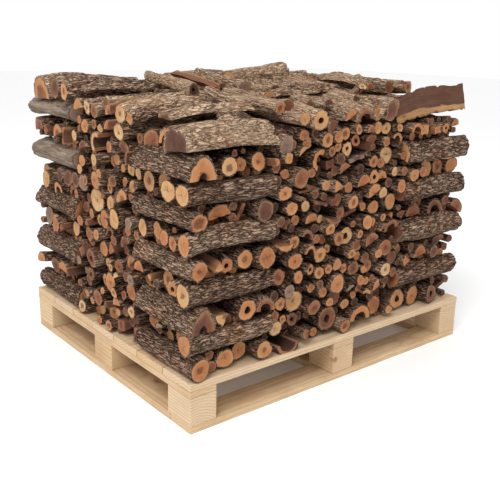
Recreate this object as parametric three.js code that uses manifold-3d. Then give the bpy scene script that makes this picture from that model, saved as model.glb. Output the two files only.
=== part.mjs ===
// A pallet load of split and round firewood: a four-way timber pallet, a crib of crossed logs at each
// corner, log stacks with their ends facing out between the cribs, and a loose layer of logs on top.
// Millimetres, +Z up. The origin is the centre of the pallet's footprint, on the ground.
import * as THREE from "three";
import Module from "manifold-3d";
import { mergeVertices } from "three/addons/utils/BufferGeometryUtils.js";

const wasm = await Module();
wasm.setup();

// ---------------------------------------------------------------- driving dimensions
const PALLET = { length: 1200, width: 1000 };
const BOTTOM_THICK = 22; // boards that lie on the ground
const BLOCK = { x: 90, y: 115, height: 86 };
const STRINGER_THICK = 20; // boards that join the blocks, under the deck
const DECK_THICK = 22;
const DECK_BOARDS = 7;
const DECK_GAP = 4;
const BOTTOM_BOARD_WIDTH = 100;

const STRINGER_Z = BOTTOM_THICK + BLOCK.height;
const DECK_Z = STRINGER_Z + STRINGER_THICK;
const DECK_TOP = DECK_Z + DECK_THICK;

const CLEAR = 2; // free space between neighbouring pieces of the stack
const STACK_TOP = 815; // top of the log stacks between the cribs
const LOOSE_Z = 818; // underside of the loose top layer
const LOOSE_TOP = 890;

// Each corner crib: its footprint and the height of each layer from the deck up. Odd layers run along Y
// and even layers along X, as in a log cabin. The outer log of a layer is a piece of its own where the
// layer runs in one of the outer directions, and outerShapes gives its shape.
const CRIBS = {
  front_left: {
    x: [-600, -305],
    y: [-500, -205],
    heights: [72, 68, 72, 74, 66, 68, 62, 74, 68, 41],
    outer: ["y", "x"],
    outerShapes: ["round", "round", "arch", "round", "round", "round", "round", "round", "arch"],
  },
  front_right: {
    x: [255, 575],
    y: [-500, -205],
    heights: [90, 82, 76, 92, 56, 70, 80, 62, 58],
    outer: ["x"],
    outerShapes: ["round", "round", "round", "round", "round", "round", "round", "half"],
  },
  back_left: {
    x: [-600, -300],
    y: [175, 492],
    heights: [82, 72, 92, 84, 62, 82, 86, 72, 70],
    outer: ["y"],
    outerShapes: ["round", "round", "round", "round", "half", "round", "tall_half", "round", "tall_half"],
  },
  back_right: {
    x: [265, 575],
    y: [180, 492],
    heights: [84, 74, 76, 82, 64, 70, 78, 70, 66],
    outer: [],
    outerShapes: [],
  },
};

// ---------------------------------------------------------------- materials
const material = (color, roughness) => new THREE.MeshStandardMaterial({ color, roughness, metalness: 0 });
const PINE = material(0xd8bd92, 0.75);
const BARK = material(0x75655a, 0.95);
const SPLIT_WOOD = material(0x8a5238, 0.85);
const STACKED_LOGS = material(0x6a5245, 0.95);

const load = new THREE.Group();
const pallet = new THREE.Group();
const cribs = new THREE.Group();
const stacks = new THREE.Group();
const topLayer = new THREE.Group();
load.add(pallet, cribs, stacks, topLayer);

function addMesh(group, name, geometry, finish, position = [0, 0, 0]) {
  const mesh = new THREE.Mesh(geometry, finish);
  mesh.name = name;
  mesh.position.set(...position);
  group.add(mesh);
  return mesh;
}

// ---------------------------------------------------------------- the pallet
// A board or block given by its size and the middle of its underside.
function addTimber(name, [sx, sy, sz], [x, y, z]) {
  addMesh(pallet, name, new THREE.BoxGeometry(sx, sy, sz), PINE, [x, y, z + sz / 2]);
}

function addDeck() {
  const boardWidth = (PALLET.width - (DECK_BOARDS - 1) * DECK_GAP) / DECK_BOARDS;
  for (let i = 0; i < DECK_BOARDS; i++) {
    const y = -PALLET.width / 2 + boardWidth / 2 + i * (boardWidth + DECK_GAP);
    addTimber(`deck_board_${i + 1}`, [PALLET.length, boardWidth, DECK_THICK], [0, y, DECK_Z]);
  }
}

function addStringersAndBlocks() {
  const columns = { left: -1, middle: 0, right: 1 };
  const rows = { front: -1, centre: 0, back: 1 };
  for (const [column, sx] of Object.entries(columns)) {
    const x = (sx * (PALLET.length - BLOCK.x)) / 2;
    addTimber(`stringer_board_${column}`, [BLOCK.x, PALLET.width, STRINGER_THICK], [x, 0, STRINGER_Z]);
    for (const [row, sy] of Object.entries(rows)) {
      const y = (sy * (PALLET.width - BLOCK.y)) / 2;
      addTimber(`block_${row}_${column}`, [BLOCK.x, BLOCK.y, BLOCK.height], [x, y, BOTTOM_THICK]);
    }
  }
}

function addBottomBoards() {
  const edgeY = (PALLET.width - BOTTOM_BOARD_WIDTH) / 2;
  const edgeX = (PALLET.length - BOTTOM_BOARD_WIDTH) / 2;
  const innerLength = PALLET.width - 2 * BOTTOM_BOARD_WIDTH;
  const across = [PALLET.length, BOTTOM_BOARD_WIDTH, BOTTOM_THICK];
  const along = [BOTTOM_BOARD_WIDTH, innerLength, BOTTOM_THICK];
  addTimber("bottom_board_front", across, [0, -edgeY, 0]);
  addTimber("bottom_board_back", across, [0, edgeY, 0]);
  addTimber("bottom_board_left", along, [-edgeX, 0, 0]);
  addTimber("bottom_board_middle", along, [0, 0, 0]);
  addTimber("bottom_board_right", along, [edgeX, 0, 0]);
}

// ---------------------------------------------------------------- log shapes
// Each shape is made along its own Z, with its upper side towards its own Y.
const ROUND_SIDES = 14;
const LOG_RINGS = 6;

function sectionShape(shape, width, height) {
  const r = width / 2;
  const outline = new THREE.Shape();
  if (shape === "arch") {
    // The outer half of a hollow trunk: a thick C that opens downwards.
    const wall = 0.42 * r;
    outline.absellipse(0, 0, r, height, 0, Math.PI, false, 0);
    outline.lineTo(-(r - wall), 0);
    outline.absellipse(0, 0, r - wall, height - wall, Math.PI, 0, true, 0);
    outline.closePath();
  } else if (shape === "wedge") {
    outline.moveTo(-r, 0);
    outline.lineTo(r, 0);
    outline.quadraticCurveTo(r, height, -0.2 * r, height);
    outline.closePath();
  } else {
    outline.absellipse(0, 0, r, height, 0, Math.PI, false, 0);
    outline.closePath();
  }
  return outline;
}

// A round log is a tapered, slightly lobed cylinder; a split one is an extruded section.
function logGeometry({ shape = "round", width, height = width, length, taper = 0.93, bow = 0, phase = 0 }) {
  let log;
  if (shape === "round") {
    log = new THREE.CylinderGeometry(width / 2, (taper * width) / 2, length, ROUND_SIDES, LOG_RINGS);
    log.rotateX(Math.PI / 2);
  } else {
    log = new THREE.ExtrudeGeometry(sectionShape(shape, width, height), {
      depth: length,
      steps: LOG_RINGS,
      curveSegments: 8,
      bevelEnabled: false,
    });
    log.translate(0, 0, -length / 2);
  }
  const p = log.attributes.position;
  for (let i = 0; i < p.count; i++) {
    const [x, y, z] = [p.getX(i), p.getY(i), p.getZ(i)];
    const along = (2 * z) / length;
    const lobe = shape === "round" ? 1 - 0.04 * (1 + Math.sin(2 * Math.atan2(y, x) + phase)) : 1;
    p.setXY(i, x * lobe, y * lobe - bow * along * along);
  }
  return log;
}

const LIE = {
  x: new THREE.Matrix4().makeBasis(
    new THREE.Vector3(0, 1, 0),
    new THREE.Vector3(0, 0, 1),
    new THREE.Vector3(1, 0, 0),
  ),
  y: new THREE.Matrix4().makeBasis(
    new THREE.Vector3(1, 0, 0),
    new THREE.Vector3(0, 0, 1),
    new THREE.Vector3(0, -1, 0),
  ),
};

// Lays a log along X or Y, turned by roll about its own length and by yaw and tilt from there, with the
// lowest corner of its box at a given place.
function addLog(group, name, size, { along, roll = 0, yaw = 0, tilt = 0, corner, finish = BARK }) {
  const log = logGeometry(size);
  log.rotateZ(roll);
  log.applyMatrix4(LIE[along]);
  log.rotateY(tilt);
  log.rotateZ(yaw);
  log.computeBoundingBox();
  const low = log.boundingBox.min;
  log.translate(-low.x, -low.y, -low.z);
  return addMesh(group, name, log, finish, corner);
}

// ---------------------------------------------------------------- solids and cuts
function solidOf(geometry) {
  const bare = geometry.clone().deleteAttribute("normal").deleteAttribute("uv");
  const merged = mergeVertices(bare, 1e-3);
  return new wasm.Manifold(
    new wasm.Mesh({
      numProp: 3,
      vertProperties: new Float32Array(merged.attributes.position.array),
      triVerts: new Uint32Array(merged.index.array),
    }),
  );
}

function geometryOf(solid) {
  const mesh = solid.getMesh();
  const geometry = new THREE.BufferGeometry();
  geometry.setAttribute("position", new THREE.BufferAttribute(mesh.vertProperties, 3));
  geometry.setIndex(new THREE.BufferAttribute(mesh.triVerts, 1));
  geometry.computeVertexNormals();
  return geometry;
}

function boxBetween([x0, x1], [y0, y1], [z0, z1]) {
  const box = new THREE.BoxGeometry(x1 - x0, y1 - y0, z1 - z0);
  return box.translate((x0 + x1) / 2, (y0 + y1) / 2, (z0 + z1) / 2);
}

// ---------------------------------------------------------------- corner cribs
const SLAB = { shape: "arch", width: 130, height: 88, length: 294 };
const SLAB_NOTCH = SLAB.width + CLEAR;
const OVER = 5; // how far a notch runs past the face that it opens on
const SPLIT_EXTRA = 14; // how much wider than its layer is high a split log lies
const TALL_DEPTH = 0.72; // depth of a half log that stands on its edge, as a share of its layer's height

function outerLogSize(shape, layerHeight, length, i) {
  const tall = shape === "tall_half";
  const round = shape === "round";
  return {
    shape: tall ? "half" : shape,
    width: round || tall ? layerHeight - CLEAR : layerHeight + SPLIT_EXTRA,
    height: tall ? TALL_DEPTH * layerHeight : layerHeight - CLEAR,
    length,
    taper: 0.9 + 0.03 * (i % 3),
    bow: round ? 3 * (i % 2) : 0,
    phase: 1.7 * i,
  };
}

// Lays the crib's named outer logs and returns the height of its top. What is left of the crib's block
// stands for its other logs, with a notch for each named one.
function addCrib(corner, { x, y, heights, outer, outerShapes }) {
  const top = DECK_TOP + heights.reduce((sum, h) => sum + h, 0);
  const past = ([low, high]) => [low - OVER, high + OVER];
  let fill = solidOf(boxBetween(x, y, [DECK_TOP, top]));
  let z = DECK_TOP;
  outerShapes.forEach((shape, i) => {
    const along = i % 2 === 0 ? "y" : "x";
    const span = along === "y" ? y : x;
    if (outer.includes(along)) {
      const size = outerLogSize(shape, heights[i], span[1] - span[0], i);
      const tall = shape === "tall_half";
      const inwards = (tall ? size.height : size.width) + CLEAR;
      addLog(cribs, `crib_log_${corner}_${i + 1}`, size, {
        along,
        roll: tall ? -Math.PI / 2 : 0,
        corner: [x[0], y[0], z],
        finish: shape === "round" ? BARK : SPLIT_WOOD,
      });
      const notchX = along === "y" ? [x[0] - OVER, x[0] + inwards] : past(x);
      const notchY = along === "x" ? [y[0] - OVER, y[0] + inwards] : past(y);
      fill = fill.subtract(solidOf(boxBetween(notchX, notchY, [z, z + heights[i]])));
    }
    z += heights[i];
  });
  if (corner === "front_left") {
    const notchY = [y[0] - OVER, y[0] + SLAB_NOTCH];
    fill = fill.subtract(solidOf(boxBetween(past(x), notchY, [z, top + OVER])));
  }
  addMesh(cribs, `corner_logs_${corner}`, geometryOf(fill), STACKED_LOGS);
  return top;
}

// ---------------------------------------------------------------- stacks between the cribs
function addStacks() {
  const { front_left: fl, front_right: fr, back_left: bl, back_right: br } = CRIBS;
  const frontX = [fl.x[1] + CLEAR, fr.x[0] - CLEAR];
  const backX = [bl.x[1] + CLEAR, br.x[0] - CLEAR];
  const sideY = [fl.y[1] + CLEAR, bl.y[0] - CLEAR];
  const coreX = [frontX[0] + CLEAR, frontX[1] - CLEAR];
  const coreY = [sideY[0] + CLEAR, sideY[1] - CLEAR];
  const z = [DECK_TOP, STACK_TOP];
  addMesh(stacks, "stack_front", boxBetween(frontX, fl.y, z), STACKED_LOGS);
  addMesh(stacks, "stack_back", boxBetween(backX, bl.y, z), STACKED_LOGS);
  addMesh(stacks, "stack_left", boxBetween(fl.x, sideY, z), STACKED_LOGS);
  addMesh(stacks, "stack_right", boxBetween([br.x[0], fr.x[1]], sideY, z), STACKED_LOGS);
  addMesh(stacks, "stack_core", boxBetween(coreX, coreY, z), STACKED_LOGS);
}

// ---------------------------------------------------------------- loose logs on top
// The three logs side by side on the back left crib, front one first.
const LEFT_LOGS = [
  { name: "top_log_left_1", y: 168, size: { width: 58, length: 294, bow: 3, phase: 1 } },
  { name: "top_log_left_2", y: 232, size: { width: 68, length: 296, bow: 4, phase: 2 } },
  { name: "top_half_log_left", y: 308, size: { shape: "arch", width: 118, height: 70, length: 296 } },
];

// The pieces that lie across the loose layer.
const CROSSING_PIECES = [
  {
    name: "top_log_lengthways",
    size: { width: 50, length: 350, bow: 4, phase: 4 },
    lie: { along: "y", yaw: 0.06 },
    at: [-300, -62],
  },
  {
    name: "top_split_piece",
    size: { shape: "wedge", width: 62, height: 44, length: 290 },
    lie: { along: "y", yaw: -0.12, finish: SPLIT_WOOD },
    at: [-205, -112],
  },
  {
    name: "top_log_peak",
    size: { width: 70, length: 370, taper: 0.85, bow: 5, phase: 3 },
    lie: { along: "x", yaw: 0.3 },
    at: [-75, 20],
  },
];

const RIGHT_SLAB = { shape: "half", width: 84, height: 62, length: 325 };
const RIGHT_SLAB_X = 205;
const RIGHT_SLAB_TURN = { roll: -0.38 * Math.PI, tilt: -0.09 }; // split face forwards, right end up

// The loose logs around those pieces fill one outline, which steps clear of the two front slabs and of
// the logs on the back left crib.
function looseOutline() {
  const { front_left: fl, back_left: bl, back_right: br } = CRIBS;
  const slabEnd = fl.x[1] + 9;
  const slabBack = fl.y[0] + SLAB.width + CLEAR;
  const rightSlabBack = fl.y[0] + 108;
  const crossingX = -222;
  const leftX = fl.x[0] + 6;
  const leftLogsFront = LEFT_LOGS[0].y - 8;
  const backY = bl.y[1] - 7;
  const rightX = br.x[1] - 3;
  const points = [
    [slabEnd, fl.y[0] + 4],
    [RIGHT_SLAB_X - 5, fl.y[0] + 4],
    [RIGHT_SLAB_X - 5, rightSlabBack],
    [rightX, rightSlabBack],
    [rightX, backY],
    [crossingX, backY],
    [crossingX, leftLogsFront],
    [leftX, leftLogsFront],
    [leftX, slabBack],
    [slabEnd, slabBack],
  ];
  return new THREE.Shape(points.map(([x, y]) => new THREE.Vector2(x, y)));
}

function addTopLayer(cribTops) {
  const { front_left: fl, front_right: fr } = CRIBS;
  const slabZ = cribTops.front_left - fl.heights.at(-1);
  addLog(topLayer, "top_slab_front_left", SLAB, { along: "x", corner: [fl.x[0], fl.y[0], slabZ] });
  addLog(topLayer, "top_slab_front_right", RIGHT_SLAB, {
    along: "x",
    ...RIGHT_SLAB_TURN,
    corner: [RIGHT_SLAB_X, fr.y[0], cribTops.front_right + CLEAR],
    finish: SPLIT_WOOD,
  });
  for (const { name, y, size } of LEFT_LOGS) {
    addLog(topLayer, name, size, { along: "x", corner: [fl.x[0], y, cribTops.back_left + 1] });
  }
  for (const { name, size, lie, at } of CROSSING_PIECES) {
    addLog(topLayer, name, size, { ...lie, corner: [...at, LOOSE_TOP + 1] });
  }
  const depth = LOOSE_TOP - LOOSE_Z;
  const loose = new THREE.ExtrudeGeometry(looseOutline(), { depth, bevelEnabled: false });
  addMesh(topLayer, "top_logs", loose, STACKED_LOGS, [0, 0, LOOSE_Z]);
}

addDeck();
addStringersAndBlocks();
addBottomBoards();
const cribTops = {};
for (const [corner, crib] of Object.entries(CRIBS)) cribTops[corner] = addCrib(corner, crib);
addStacks();
addTopLayer(cribTops);

export default load;
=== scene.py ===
# %% [markdown]
# # A pallet load of firewood
# About sixteen hundred short logs, sawn to about 300 mm, stand on a four-way timber pallet. At each
# corner they are crossed layer on layer, like the corner of a log cabin, and these cribs hold in the
# stacks between them, where every sawn end faces out. A loose layer lies on top. The construction comes
# from the frame: the pallet's boards, the outer logs of the cribs and the large pieces on top have a
# solid each, and plain blocks stand for the rest. Here each log gets its own shape, bark and sawn ends.

# %% Load the frame
import math

import bmesh
import bpy
import numpy as np
from mathutils import Matrix, Vector


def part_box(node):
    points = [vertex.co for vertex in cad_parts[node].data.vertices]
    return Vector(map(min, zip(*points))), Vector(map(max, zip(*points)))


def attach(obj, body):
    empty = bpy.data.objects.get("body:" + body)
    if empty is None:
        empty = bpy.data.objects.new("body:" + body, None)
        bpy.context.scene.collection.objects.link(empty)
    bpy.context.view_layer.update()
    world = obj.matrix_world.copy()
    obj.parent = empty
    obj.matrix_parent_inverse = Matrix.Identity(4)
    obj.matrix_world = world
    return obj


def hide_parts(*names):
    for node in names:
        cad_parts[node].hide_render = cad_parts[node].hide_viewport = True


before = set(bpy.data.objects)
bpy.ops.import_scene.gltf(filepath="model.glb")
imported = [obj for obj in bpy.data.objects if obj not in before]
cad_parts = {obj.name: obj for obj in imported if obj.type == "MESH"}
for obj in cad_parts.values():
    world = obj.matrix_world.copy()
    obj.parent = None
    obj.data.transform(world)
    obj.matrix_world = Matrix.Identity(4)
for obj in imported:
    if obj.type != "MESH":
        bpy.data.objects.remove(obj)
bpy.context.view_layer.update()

MM = 0.001
draw = np.random.default_rng(11)  # every random choice below comes from this one seeded source

# %% [markdown]
# ## The camera
# The load is seen from the front left corner, a little above its top, with a lens long enough to keep
# the uprights nearly parallel. The camera is placed first, so that every later step can be judged in
# the view that counts. It leans by about one degree, as a camera held by hand does.

# %% Place the camera
CAMERA_AT = (-1.595, -1.952, 1.048)
CAMERA_YAW, CAMERA_DOWN, CAMERA_LEAN = (math.radians(a) for a in (39.41, 16.29, 1.26))
camera_data = bpy.data.cameras.new("camera")
camera_data.lens = 51.6
camera_data.sensor_width = 36.0
camera = bpy.data.objects.new("camera", camera_data)
bpy.context.scene.collection.objects.link(camera)
camera.matrix_world = (
    Matrix.Translation(CAMERA_AT)
    @ Matrix.Rotation(-CAMERA_YAW, 4, "Z")
    @ Matrix.Rotation(math.pi / 2 - CAMERA_DOWN, 4, "X")
    @ Matrix.Rotation(CAMERA_LEAN, 4, "Z")
)
bpy.context.scene.camera = camera
print("camera at", CAMERA_AT)

# %% [markdown]
# ## Building materials from nodes
# Each finish below is a small tree of shader nodes. Short helpers keep those trees readable: *node* makes
# a node and fills its sockets, with a number or with another node's output, *mixture* adds up values by
# weight, and *stain* lets one colour into another. The patterns read three attributes that every log
# carries: *along*, a place inside the log with its third number running along the grain; *pith*, the
# place across the log as a share of its radius, from the middle outwards, and a number that differs from
# log to log; and *kind*, the log's own wood tone, bark tone and heart size.


# %% Node helpers
def node(tree, kind, inputs=None, **settings):
    made = tree.nodes.new("ShaderNode" + kind)
    for name, value in settings.items():
        setattr(made, name, value)
    for name, value in (inputs or {}).items():
        if isinstance(value, bpy.types.NodeSocket):
            tree.links.new(value, made.inputs[name])
        else:
            made.inputs[name].default_value = value
    return made


def calc(tree, operation, a, b=0.0):
    return node(tree, "Math", {0: a, 1: b}, operation=operation).outputs[0]


def mixture(tree, *parts):
    """The sum of several values, each times its weight."""
    total = 0.0
    for value, weight in parts:
        total = node(tree, "Math", {0: value, 1: weight, 2: total}, operation="MULTIPLY_ADD").outputs[0]
    return total


def blend(tree, share, a, b):
    return node(tree, "Mix", {0: share, 6: a, 7: b}, data_type="RGBA").outputs[2]


def stain(tree, wood, colour, mask, strength=1.0):
    """Lets a colour into the wood where a mask is high."""
    return blend(tree, calc(tree, "MULTIPLY", mask, strength), wood, (*colour, 1.0))


def remap(tree, value, low, high, to_low=0.0, to_high=1.0):
    made = node(tree, "MapRange", {0: value, 1: low, 2: high, 3: to_low, 4: to_high})
    return made.outputs[0]


def ramp(tree, value, stops):
    made = node(tree, "ValToRGB", {0: value})
    steps = made.color_ramp.elements
    while len(steps) < len(stops):
        steps.new(0.5)
    for step, (place, colour) in zip(steps, stops):
        step.position = place
        step.color = (*colour, 1.0)
    return made.outputs[0]


def noise(tree, vector, scale, detail=4.0, rough=0.55, warp=0.0):
    made = node(
        tree, "TexNoise",
        {"Vector": vector, "Scale": scale, "Detail": detail, "Roughness": rough, "Distortion": warp},
    )
    return made.outputs[0]


def stretched(tree, vector, across, along):
    return node(tree, "Mapping", {"Vector": vector, "Scale": (across, across, along)}).outputs[0]


def attribute(tree, name):
    return node(tree, "Attribute", attribute_name=name, attribute_type="GEOMETRY").outputs["Vector"]


def parts_of(tree, vector):
    return node(tree, "SeparateXYZ", {0: vector}).outputs


def from_pith(tree):
    """The place across the log, and how far that place is from the pith."""
    flat = node(tree, "VectorMath", {0: attribute(tree, "pith"), 1: (1.0, 1.0, 0.0)}, operation="MULTIPLY")
    reach = node(tree, "VectorMath", {0: flat.outputs[0]}, operation="LENGTH")
    return flat.outputs[0], reach.outputs["Value"]


def new_group(name, inputs, outputs):
    group = bpy.data.node_groups.new(name, "ShaderNodeTree")
    for label, kind, value in inputs:
        socket = group.interface.new_socket(label, in_out="INPUT", socket_type="NodeSocket" + kind)
        if value is not None:
            socket.default_value = value
    for label, kind in outputs:
        group.interface.new_socket(label, in_out="OUTPUT", socket_type="NodeSocket" + kind)
    return group, group.nodes.new("NodeGroupInput").outputs, group.nodes.new("NodeGroupOutput").inputs


def use_group(tree, group, inputs):
    return node(tree, "Group", inputs, node_tree=group).outputs


def new_material(name, roughness):
    made = bpy.data.materials.new(name)
    made.use_nodes = True
    shader = made.node_tree.nodes["Principled BSDF"]
    shader.inputs["Roughness"].default_value = roughness
    shader.inputs["Specular IOR Level"].default_value = 0.25
    return made, made.node_tree, shader.inputs


def raise_surface(tree, sockets, height, distance, strength=1.0):
    bump = node(tree, "Bump", {"Strength": strength, "Distance": distance, "Height": height})
    tree.links.new(bump.outputs[0], sockets["Normal"])


# %% [markdown]
# ## Effects that several finishes share
# Two effects turn up in more than one finish, so each is a node group. *Wood fibre* is a fine streak
# that runs along the grain, used on split faces, on the sides of boards and inside hollow logs.
# *Weathering* is a soft uneven patch of grey and fine dirt, used on ends, split faces and boards alike.

# %% Wood fibre and weathering
fibre_group, fibre_in, fibre_out = new_group(
    "wood_fibre",
    [("Along", "Vector", None), ("Fineness", "Float", 1.0)],
    [("Streak", "Float"), ("Band", "Float")],
)
fibre_place = node(
    fibre_group, "VectorMath", {0: fibre_in["Along"], "Scale": fibre_in["Fineness"]}, operation="SCALE"
).outputs[0]
fibre_group.links.new(
    noise(fibre_group, stretched(fibre_group, fibre_place, 1.0, 0.05), 420.0, 5.0, 0.6, 0.3),
    fibre_out["Streak"],
)
fibre_group.links.new(
    noise(fibre_group, stretched(fibre_group, fibre_place, 1.0, 0.12), 75.0, 3.0, 0.5, 0.8),
    fibre_out["Band"],
)

weather_group, weather_in, weather_out = new_group(
    "weathering",
    [("Along", "Vector", None), ("Size", "Float", 12.0)],
    [("Patch", "Float"), ("Speck", "Float")],
)
cloudy = noise(weather_group, weather_in["Along"], weather_in["Size"], 5.0, 0.6)
gritty = noise(weather_group, weather_in["Along"], 260.0, 3.0, 0.7)
weather_group.links.new(remap(weather_group, cloudy, 0.4, 0.68), weather_out["Patch"])
weather_group.links.new(remap(weather_group, gritty, 0.58, 0.72), weather_out["Speck"])
print("shared effects:", fibre_group.name, weather_group.name)

# %% [markdown]
# ## Bark
# This bark is thick and deeply furrowed: grey, dry ridges that run along the log, with dark brown
# fissures between them. A cell pattern drawn out along the grain gives the plates, and its distance to
# the nearest cell edge is low in the fissures and high on the ridges, so one number drives both the
# colour and the relief. The darkest fissures are partly painted shade and the palest ridges partly a
# painted highlight. The log's bark tone moves that number from dark brown to pale grey. A pale log, as
# on the top of the load, is partly sun-bleached and partly painted top light: its ridges and fissures
# differ more, as painted highlight and painted shade, and its colour is paler and warmer.

# %% Bark
MIDDLE_SHADE = 0.64
bark, tree, sockets = new_material("bark", 0.95)
along = attribute(tree, "along")
tone = parts_of(tree, attribute(tree, "kind"))[1]
wander = noise(tree, stretched(tree, along, 1.0, 0.35), 60.0, 3.0, 0.6)
drift = node(tree, "VectorMath", {0: (0.026, 0.026, 0.026), "Scale": wander}, operation="SCALE").outputs[0]
wandered = node(tree, "VectorMath", {0: along, 1: drift}, operation="ADD").outputs[0]
plates = node(
    tree, "TexVoronoi",
    {"Vector": stretched(tree, wandered, 1.0, 0.12), "Scale": 165.0, "Randomness": 1.0},
    feature="DISTANCE_TO_EDGE",
)
ridge = remap(tree, plates.outputs[0], 0.01, 0.24)
fine = noise(tree, stretched(tree, wandered, 1.0, 0.10), 420.0, 6.0, 0.66, 0.4)
patch = remap(tree, noise(tree, stretched(tree, along, 1.0, 0.5), 24.0, 4.0, 0.6), 0.3, 0.7)
lightness = remap(tree, tone, 0.0, 1.5, -0.68, -0.15)
shade = mixture(tree, (ridge, 0.56), (fine, 1.15), (patch, 0.24), (lightness, 1.0))
# A high bark tone, as on the top logs, spreads the shade number: partly sun-bleached bark, partly painted top
# light on the ridges and painted shade in the fissures.
contrast = remap(tree, tone, 0.5, 1.7, 0.90, 1.40)
from_middle = calc(tree, "SUBTRACT", shade, MIDDLE_SHADE)
shade = calc(tree, "ADD", calc(tree, "MULTIPLY", from_middle, contrast), MIDDLE_SHADE)
# The darkest stops are partly painted shade in the fissures, the palest partly a painted highlight on the
# ridges.
grey_bark = ramp(tree, shade, [
    (0.16, (0.010, 0.005, 0.003)), (0.36, (0.072, 0.036, 0.021)), (0.52, (0.178, 0.101, 0.061)),
    (0.70, (0.305, 0.196, 0.128)), (0.98, (0.480, 0.345, 0.240)),
])
red_bark = ramp(tree, shade, [
    (0.16, (0.016, 0.007, 0.003)), (0.42, (0.100, 0.040, 0.019)), (0.68, (0.270, 0.124, 0.062)),
    (0.92, (0.500, 0.290, 0.165)),
])
bleached_and_top_lit = ramp(tree, shade, [
    (0.14, (0.022, 0.010, 0.006)), (0.40, (0.135, 0.068, 0.036)), (0.62, (0.350, 0.212, 0.125)),
    (0.92, (0.680, 0.470, 0.300)),
])
# This paler, warmer bark is partly sun-bleached and partly painted top light, on logs with a high bark tone.
bleaching_and_top_light = remap(tree, tone, 0.9, 1.7, 0.0, 0.75)
redness = remap(tree, noise(tree, along, 9.0, 3.0), 0.46, 0.70, 0.0, 0.7)
bark_colour = blend(tree, bleaching_and_top_light, grey_bark, bleached_and_top_lit)
bark_colour = blend(tree, redness, bark_colour, red_bark)
tree.links.new(bark_colour, sockets["Base Color"])
raise_surface(tree, sockets, mixture(tree, (ridge, 0.75), (fine, 0.6)), 0.0065, 1.0)
print("bark: ridge, fine grain and patch make one shade number")

# %% [markdown]
# ## Sawn ends
# A cross-cut end shows the log's history: thin growth rings round the pith, pale sapwood under the
# bark, darker heartwood, and drying cracks that open from the middle. The ring pattern needs only how
# far a point is from the pith, and the cracks need only its direction from the pith, so both come from
# the *pith* attribute, and on an uneven log they follow its outline as real rings do.

# %% Sawn end
RING_ANGLE = 62.0  # what the rings' sine turns through from pith to bark: about ten rings
sawn_end, tree, sockets = new_material("sawn_end", 0.8)
along = attribute(tree, "along")
tone, _, heart_size = parts_of(tree, attribute(tree, "kind"))
weather = use_group(tree, weather_group, {"Along": along, "Size": 38.0})
across, girth = from_pith(tree)
own_number = parts_of(tree, attribute(tree, "pith"))[2]
own = node(tree, "CombineXYZ", {2: calc(tree, "MULTIPLY", own_number, 37.0)}).outputs[0]
own_place = node(tree, "VectorMath", {0: across, 1: own}, operation="ADD").outputs[0]
blotch = noise(tree, own_place, 1.6, 4.0, 0.6)
ragged = noise(tree, own_place, 6.0, 4.0, 0.65)
blotch_shift = remap(tree, blotch, 0.25, 0.75, -0.16, 0.16)
ragged_shift = remap(tree, ragged, 0.3, 0.7, -0.07, 0.07)
uneven_girth = mixture(tree, (girth, 1.0), (blotch_shift, 1.0), (ragged_shift, 1.0))
cloud = remap(tree, noise(tree, own_place, 0.9, 3.0), 0.3, 0.7, -0.10, 0.10)
wood = ramp(tree, calc(tree, "ADD", tone, cloud), [
    (0.00, (0.036, 0.015, 0.010)), (0.18, (0.092, 0.034, 0.018)), (0.36, (0.220, 0.071, 0.028)),
    (0.54, (0.380, 0.138, 0.048)), (0.72, (0.450, 0.198, 0.072)), (0.88, (0.510, 0.285, 0.120)),
    (1.00, (0.585, 0.390, 0.205)),
])
grey = remap(tree, tone, -0.15, -0.05, 1.0, 0.0)
wood = stain(tree, wood, (0.215, 0.138, 0.096), grey)
ring_wave = calc(tree, "SINE", calc(tree, "MULTIPLY", uneven_girth, RING_ANGLE))
wood = stain(tree, wood, (0.16, 0.07, 0.04), remap(tree, ring_wave, -1.0, 1.0), 0.16)
sap = remap(tree, uneven_girth, 0.66, 0.9)
wood = stain(tree, wood, (0.540, 0.335, 0.175), sap, 0.28)
heart = remap(tree, calc(tree, "SUBTRACT", uneven_girth, heart_size), 0.0, 0.10, 1.0, 0.0)
wood = stain(tree, wood, (0.080, 0.028, 0.016), heart, 0.66)

# %% Cracks, rim and dirt on a sawn end
direction = node(tree, "VectorMath", {0: across}, operation="NORMALIZE").outputs[0]
bearing = node(tree, "VectorMath", {0: direction, 1: own}, operation="ADD").outputs[0]
split_line = calc(tree, "ABSOLUTE", calc(tree, "SUBTRACT", noise(tree, bearing, 1.7, 3.0, 0.6), 0.5))
short_of_bark = remap(tree, calc(tree, "ADD", girth, blotch), 0.75, 1.15, 1.0, 0.0)
crack = calc(tree, "MULTIPLY", remap(tree, split_line, 0.004, 0.016, 1.0, 0.0), short_of_bark)
wood = stain(tree, wood, (0.035, 0.016, 0.012), crack, 0.6)
rim = remap(tree, girth, 0.86, 0.91)
wood = stain(tree, wood, (0.055, 0.024, 0.014), rim, 0.8)
wood = stain(tree, wood, (0.150, 0.095, 0.065), weather["Patch"], 0.20)
wood = stain(tree, wood, (0.12, 0.07, 0.05), weather["Speck"], 0.25)
tree.links.new(wood, sockets["Base Color"])
saw_marks = noise(tree, along, 700.0, 2.0)
raise_surface(tree, sockets, mixture(tree, (saw_marks, 0.3), (crack, -1.0)), 0.0012, 0.8)
print("sawn end: rings, sapwood, heart, cracks, rim and dirt")

# %% [markdown]
# ## Split faces and hollow hearts
# Where a log was split, the axe followed the grain and left long torn fibres: reddish-brown heartwood
# in the middle and a pale edge of sapwood beside the bark. The large slab at the front right shows its
# sapwood on one side only, as a broad band, and a heart size above 1.5 asks for that. Inside a hollow log
# the wood is rotten, dark and crumbly. Both use the wood fibre effect, the second one coarser and darker.

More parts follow.
